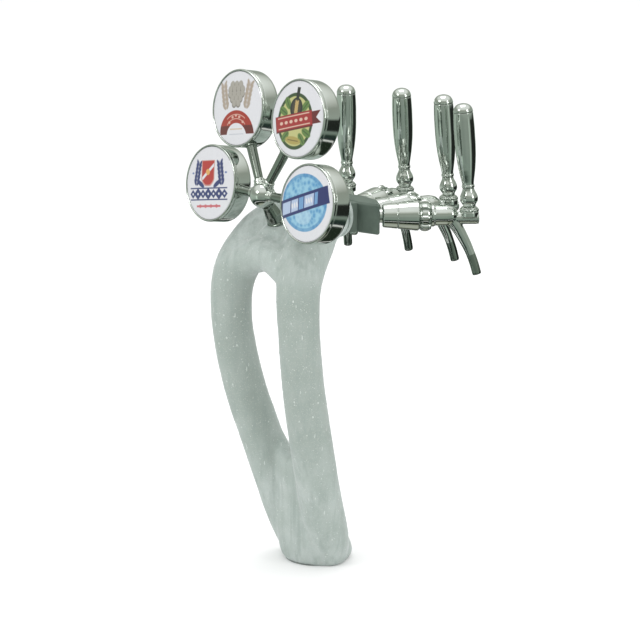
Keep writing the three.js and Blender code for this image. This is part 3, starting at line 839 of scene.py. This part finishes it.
def badge_housing_mesh():
    """A turned cup: dished back, plain side, a groove and a thin bezel."""
    r = BADGE_RADIUS
    outline = [(0, -16.6), (11, -16.6), (12, -17.5), (15, -17.5), (16, -16.2), (31, -16.2), (32.4, -17.5),
               (r - 3.4, -17.5), (r - 0.8, -16.4), (r - 0.3, -13.8), (r - 0.3, 3.4), (r - 1.1, 3.7),
               (r - 1.1, 4.5), (r, 4.8), (r, 7.4), (r - 0.6, 8.6), (r - 1.5, 8.9), (r - 2.4, 8.4),
               (r - 2.6, 5.5), (0, 5.5)]
    return lathe("badge_housing", rounded(outline, 0.8), 128)


def badge_screw_mesh():
    """A domed screw head with a round socket."""
    outline = [(0, -0.4), (1.1, -0.4), (1.2, 1.2), (1.9, 1.3), (2.6, 0.7), (2.8, -0.4), (2.8, -0.8),
               (0, -0.8)]
    return lathe("badge_screw", rounded(outline, 0.25), 24)


def badge_face_mesh(name):
    """The domed resin face, with a UV map that carries the artwork."""
    edge = BADGE_RADIUS - 2.8
    outline = [(0, 6.0), (edge, 6.0), (edge, 7.9)]
    for lift in np.linspace(0, math.pi / 2, 15)[1:]:
        outline.append((edge * math.cos(lift), 7.9 + 2.7 * math.sin(lift)))
    mesh = lathe(f"badge_face_{name}", outline, 128)
    layer = mesh.uv_layers.new(name="face")
    for loop in mesh.loops:
        spot = mesh.vertices[loop.vertex_index].co
        layer.data[loop.index].uv = (spot.x * 10, spot.y * 10)
    return mesh


def add_badges(chrome):
    """Four medallions: a cup with three screws in its back, and a printed face."""
    arts = {"left_lower": art_left_lower(), "left_upper": art_left_upper(),
            "right_upper": art_right_upper(), "right_lower": art_right_lower()}
    housing, screw = badge_housing_mesh(), badge_screw_mesh()
    behind = Matrix.Rotation(math.pi, 4, "X")
    for name, art in arts.items():
        where = badge_matrix(name)
        for k in range(3):
            a = math.radians(90 + 120 * k)
            spot = Matrix.Translation((SCREW_CIRCLE * math.cos(a), SCREW_CIRCLE * math.sin(a), BADGE_BACK))
            place(screw, f"badge_screw_{name}_{k}", chrome, where @ spot @ behind)
        place(housing, f"badge_housing_{name}", chrome, where,
              stands_for=(f"medallion_housing_{name}",))
        turn = Matrix.Rotation(math.radians(PRINT_TURN.get(name, 0)), 4, "Z")
        place(badge_face_mesh(name), f"badge_face_{name}", art, where @ turn,
              stands_for=(f"medallion_lens_{name}", f"medallion_label_{name}"))


# ---- Taps ------------------------------------------------------------------------------------

ALONG = Matrix.Rotation(math.pi / 2, 4, "Y")  # turns +Z to +X


def barrel(name, outline, z, sides=64, wobble=None, soften=0.6):
    """A body of revolution about the tap's axis at height z, from (radius, reach) points."""
    mesh = lathe(name, rounded(outline, soften), sides, wobble)
    turn = Matrix.Translation((0, 0, z * MM)) @ ALONG
    mesh.transform(turn)
    return mesh


def upright(name, outline, x, z, sides=56, wobble=None, lean=0.0, soften=0.5):
    """A body of revolution about a vertical axis at reach x, with heights from z."""
    mesh = lathe(name, rounded(outline, soften), sides, wobble)
    mesh.transform(Matrix.Translation((x * MM, 0, z * MM)) @ Matrix.Rotation(lean, 4, "Y"))
    return mesh


def shank_mesh():
    """The taper between the manifold and the coupling nut, with a groove behind the taper."""
    outline = [(0, 65.3), (8.4, 65.3), (8.4, 69), (12.6, 69), (14, 70.2), (15.6, 86), (15.2, 86.5),
               (15.2, 87.3), (15.9, 87.8), (18.2, 109), (18.2, 111.6), (17, 112.8), (0, 112.8)]
    return barrel("shank", outline, SHANK_Z)


def nut_mesh():
    """A union nut with a ring of rounded knobs."""
    def knobs(angle, radius, reach):
        if radius < 16 or not 114 < reach < 126.5:
            return 1
        return 1 - 0.2 * (1 - max(0, math.cos(8 * angle)) ** 0.5)

    outline = [(0, 113.1), (16.6, 113.1), (17.6, 114.4), (19, 116.6), (19.5, 120), (19, 123.4),
               (17.6, 125.6), (16.6, 126.9), (0, 126.9)]
    return barrel("coupling_nut", outline, SHANK_Z, 160, knobs, 1.4)


def spout_line():
    """The spout's middle line, in even steps from the nose to the mouth."""
    return spline(SPOUT_POINTS, SPOUT_STEPS)


def tap_body_mesh():
    """The cast body: inlet collar, barrel, nose, lever boss and spout under one skin."""
    inlet = [(0, 127.2), (13.6, 127.2), (13.6, 130.6), (12.4, 131.6), (12.3, 146), (10.6, 153), (7, 158),
             (0, 158)]
    nose = [(0, 146), (7.4, 147), (7.4, 181.5), (0, 181.5)]
    boss = [(0, 2), (11.4, 2), (11.4, 8.6), (0, 8.6)]
    radii = np.interp(np.linspace(0, 1, CAST_STEPS), [0, 0.3, 0.7, 1], [8.2, 6.9, 5.7, 5.2])
    meshes = [
        barrel("inlet", inlet, SHANK_Z),
        barrel("nose", nose, NOZZLE_Z, 48),
        upright("boss", boss, LEVER_REACH, NOZZLE_Z, 48),
        swept("spout", spout_line()[:CAST_STEPS], radii, 32, (0, 1, 0)),
    ]
    return blended("tap_body", meshes, voxel=0.65, passes=7)


def nose_cap_mesh():
    """The turned plug that closes the valve's bore, with a groove round it and a dimple."""
    outline = [(0, 178), (7.5, 178), (7.5, 181.8), (7.0, 182.3), (7.0, 182.8), (7.3, 183.2), (7.1, 184.2),
               (6.2, 184.6), (3.2, 184.6), (2.9, 184.0), (0, 184.0)]
    return barrel("nose_cap", outline, NOZZLE_Z, 56, soften=0.25)


def spout_tip_mesh():
    """A dark sleeve over the last third of the spout, hollow at the mouth."""
    line = spout_line()[SLEEVE_FROM:]
    end = Vector(line[-1])
    down = (end - Vector(line[-2])).normalized()
    inward = [tuple(end - down * depth) for depth in (0, 3, 6, 9)]
    path = np.array([*line, *inward])
    radii = [5.5] * (len(line) - 1) + [5.1, 3.5, 3.4, 3.4, 3.4]
    return swept("spout_tip", path, radii, 40, (0, 1, 0))


def bonnet_mesh():
    """A knurled lower ring under a smooth collar that holds the lever's ball."""
    def knurl(angle, radius, height):
        return 1 - (0.018 * (1 + math.cos(30 * angle)) if radius > 11 and -8 < height < -6 else 0)

    outline = [(2.6, -8.5), (11, -8.5), (11.6, -7.9), (11.6, -7.0), (11.6, -6.1), (11, -5.6), (9.6, -5.5),
               (10.1, -5.0), (10.1, -4.4), (9.6, -3.8), (8.3, -3.8), (7.7, -4.6), (2.6, -8.5)]
    return upright("bonnet", outline, LEVER_REACH, PIVOT_Z, 120, knurl, soften=0.3)


def lever_mesh():
    """A ball in the bonnet and a pear-shaped boss over it, which seats the handle."""
    ball = [(7.9 * math.cos(t), 7.9 * math.sin(t)) for t in np.linspace(-math.pi / 2, -0.35, 10)]
    ball[0] = (0, -7.9)
    boss = [(7.5, -1.4), (8.6, 0.6), (9.4, 1.6), (10.4, 3.4), (10.9, 5.8), (10.7, 8.8), (9.7, 11.8),
            (8.3, 14.6), (7.3, 17), (6.9, 18.6), (6.9, 19.6), (0, 19.6)]
    return upright("lever", ball + boss, LEVER_REACH, PIVOT_Z, 64, lean=HANDLE_LEAN, soften=0.8)


def handle_mesh():
    """The grip: a ring at its foot, a waist and a long taper that swells to the top."""
    outline = [(0, 19.9), (7.0, 19.9), (7.7, 20.5), (7.7, 22.7), (7.1, 23.5), (7.2, 26), (7.9, 30),
               (9.0, 36), (10.0, 42), (11.0, 50), (11.9, 60), (12.4, 72), (12.5, 92), (12.2, 102),
               (11.7, 110.2), (11.2, 110.6), (0, 110.6)]
    return upright("handle", outline, LEVER_REACH, PIVOT_Z, 72, lean=HANDLE_LEAN, soften=1.2)


def handle_cap_mesh():
    """The domed cap of the grip, behind a fine joint."""
    outline = [(0, 110.8), (11.4, 110.8), (11.9, 111.4), (11.8, 112.6), (10.9, 115.6), (9.1, 118.2),
               (6.4, 120.1), (3.2, 121.1), (0, 121.3)]
    return upright("handle_cap", outline, LEVER_REACH, PIVOT_Z, 64, lean=HANDLE_LEAN, soften=1.4)


def add_taps(chrome, dark_chrome):
    """Four taps. Lever, grip and cap ride on the handle's body, and the rest stays still."""
    fixed = {"shank": shank_mesh(), "coupling_nut": nut_mesh(), "tap_body": tap_body_mesh(),
             "bonnet": bonnet_mesh()}
    tip, plug = spout_tip_mesh(), nose_cap_mesh()
    lever, handle, cap = lever_mesh(), handle_mesh(), handle_cap_mesh()
    for i in TAPS:
        where = tap_matrix(i)
        for name, mesh in fixed.items():
            place(mesh, f"chrome_{name}_{i}", chrome, where, stands_for=(f"{name}_{i}",))
        place(tip, f"spout_tip_{i}", dark_chrome, where)
        place(plug, f"nose_cap_{i}", chrome, where)
        arm = f"handle_{i}"
        place(lever, f"chrome_lever_{i}", chrome, where, arm, (f"lever_{i}",))
        place(handle, f"grip_{i}", chrome, where, arm, (f"handle_{i}",))
        place(cap, f"grip_cap_{i}", chrome, where, arm, ())


# ---- Parts that stay as the CAD has them -----------------------------------------------------

def finish_cad_nodes():
    """Materials for the parts inside the tower."""
    steel = plain_material("bare_steel", (0.62, 0.63, 0.62), 0.3, 1.0)
    plastic = plain_material("line_plastic", (0.75, 0.77, 0.74), 0.4)
    kinds = {"valve_spool": steel, "coolant_line": steel, "base_flange": steel, "beer_line": plastic}
    for name, node in frame["nodes"].items():
        for kind, material in kinds.items():
            if name.startswith(kind):
                node.data.materials.clear()
                node.data.materials.append(material)


# ---- Stage -----------------------------------------------------------------------------------

def add_camera():
    """A long lens a little to the right of the customer and above the taps."""
    data = bpy.data.cameras.new("camera")
    data.lens = 133.7
    data.sensor_width = 36
    camera = bpy.data.objects.new("camera", data)
    bpy.context.scene.collection.objects.link(camera)
    camera.location = (2.0797, -1.8318, 0.9775)
    look = Vector((0, 0.0049, 0.2973)) - camera.location
    camera.rotation_mode = "QUATERNION"
    camera.rotation_quaternion = look.to_track_quat("-Z", "Y")
    bpy.context.scene.camera = camera


def add_floor():
    """A white card, which polished metal sees as part of the studio's bands instead."""
    mesh = bpy.data.meshes.new("floor")
    side = 12
    corners = [(-side, -side, 0), (side, -side, 0), (side, side, 0), (-side, side, 0)]
    mesh.from_pydata(corners, [], [(0, 1, 2, 3)])
    p = Paint("floor_card")
    mesh.materials.append(p.finish(**{"Base Color": (0.95, 0.95, 0.95), "Roughness": 0.9}))
    floor = bpy.data.objects.new("floor", mesh)
    bpy.context.scene.collection.objects.link(floor)
    floor.visible_glossy = False


def area_light(name, location, target, size, power):
    """A white soft box that faces the target."""
    data = bpy.data.lights.new(name, "AREA")
    data.shape = "RECTANGLE"
    data.size, data.size_y = size
    data.energy = power
    light = bpy.data.objects.new(name, data)
    bpy.context.scene.collection.objects.link(light)
    light.location = location
    light.rotation_mode = "QUATERNION"
    light.rotation_quaternion = (Vector(target) - Vector(location)).to_track_quat("-Z", "Y")


# The studio that polished metal sees, from straight down to straight up: a pale floor, black flags with a
# slit of light between them, a grey-green room and a soft white ceiling.
ROOM_BANDS = [
    (-1.0, (0.5, 0.52, 0.46)), (-0.93, (0.36, 0.38, 0.3)), (-0.88, (0.02, 0.03, 0.02)),
    (-0.74, (0.02, 0.03, 0.02)), (-0.725, (0.9, 0.9, 0.88)), (-0.7, (0.9, 0.9, 0.88)),
    (-0.685, (0.02, 0.03, 0.03)), (-0.56, (0.03, 0.05, 0.04)), (-0.5, (0.2, 0.25, 0.21)),
    (-0.42, (0.31, 0.38, 0.33)), (0.05, (0.38, 0.43, 0.38)), (0.4, (0.36, 0.39, 0.34)),
    (0.52, (0.6, 0.62, 0.57)), (0.7, (0.95, 0.97, 0.94)), (1.0, (1.0, 1.0, 1.0)),
]
# What stands round the room, as a factor on its light: black flags and narrow white panels.
ROOM_PANELS = [
    (0, 0.85), (3, 0.85), (7, 1.5), (15, 1.5), (20, 0.9), (26, 0.85), (30, 0.06), (102, 0.06),
    (108, 1.5), (150, 1.5), (190, 1.3), (255, 1.3), (259, 2.2), (268, 2.2), (274, 0.9), (300, 0.8),
    (330, 0.9), (360, 0.85),
]
PANEL_FOOT, PANEL_TOP = -0.42, 0.02  # where the panels begin and end, as sines of the elevation


def add_world():
    """White to the camera, even light on matt surfaces, and the studio's stripes in polished ones."""
    world = bpy.data.worlds.new("studio")
    bpy.context.scene.world = world
    world.use_nodes = True
    n = Nodes(world.node_tree)
    parts = n.add("SeparateXYZ", {0: n.add("TexCoord").outputs["Generated"]}).outputs
    height = n.ramp(parts[2], 0, 1, -1, 1)
    bands = n.ramp_of(height, [((z + 1) / 2, color) for z, color in ROOM_BANDS])
    turn = n.math("FRACT", n.math("DIVIDE", n.math("ARCTAN2", parts[1], parts[0]), 2 * math.pi))
    brightest = max(factor for _, factor in ROOM_PANELS)
    panels = n.ramp_of(turn, [(a / 360, (factor / brightest,) * 3) for a, factor in ROOM_PANELS])
    standing = n.math("MULTIPLY", n.ramp(parts[2], 0, 1, PANEL_FOOT - 0.04, PANEL_FOOT + 0.04),
                      n.ramp(parts[2], 1, 0, PANEL_TOP - 0.04, PANEL_TOP + 0.04))
    change = n.math("SUBTRACT", n.math("MULTIPLY", panels, brightest), 1)
    strength = n.math("ADD", 1, n.math("MULTIPLY", change, standing))
    room = n.add("VectorMath", {0: bands}, operation="SCALE")
    n.set(room, {"Scale": strength})
    path = n.add("LightPath").outputs
    light = n.mix(path["Is Diffuse Ray"], (0, 0, 0), (1.08, 1.08, 1.08))
    shown = n.mix(path["Is Glossy Ray"], light, room.outputs[0])
    shown = n.mix(path["Is Camera Ray"], shown, (1, 1, 1))
    n.set(world.node_tree.nodes["Background"], {0: shown, 1: 1.0})


def add_light():
    """Soft boxes, for the shape of the frosted column and highlights in the chrome."""
    bpy.context.scene.view_settings.view_transform = "Standard"
    middle = (0, 0.02, 0.35)
    area_light("key", (-0.4, -2.6, 2.0), middle, (1.0, 0.7), 16)
    area_light("fill", (2.8, 0.6, 1.6), middle, (0.6, 1.2), 12)
    area_light("top", (-0.3, 0.3, 2.6), middle, (1.2, 1.2), 16)


def main():
    add_camera()
    add_floor()
    add_world()
    add_light()
    chrome = chrome_material("chrome_plate", (0.68, 0.72, 0.68))
    dark_chrome = chrome_material("dark_chrome", (0.3, 0.34, 0.3), 0.12)
    add_column()
    add_manifold(chrome)
    add_fan(chrome, dark_chrome)
    add_taps(chrome, dark_chrome)
    finish_cad_nodes()


main()
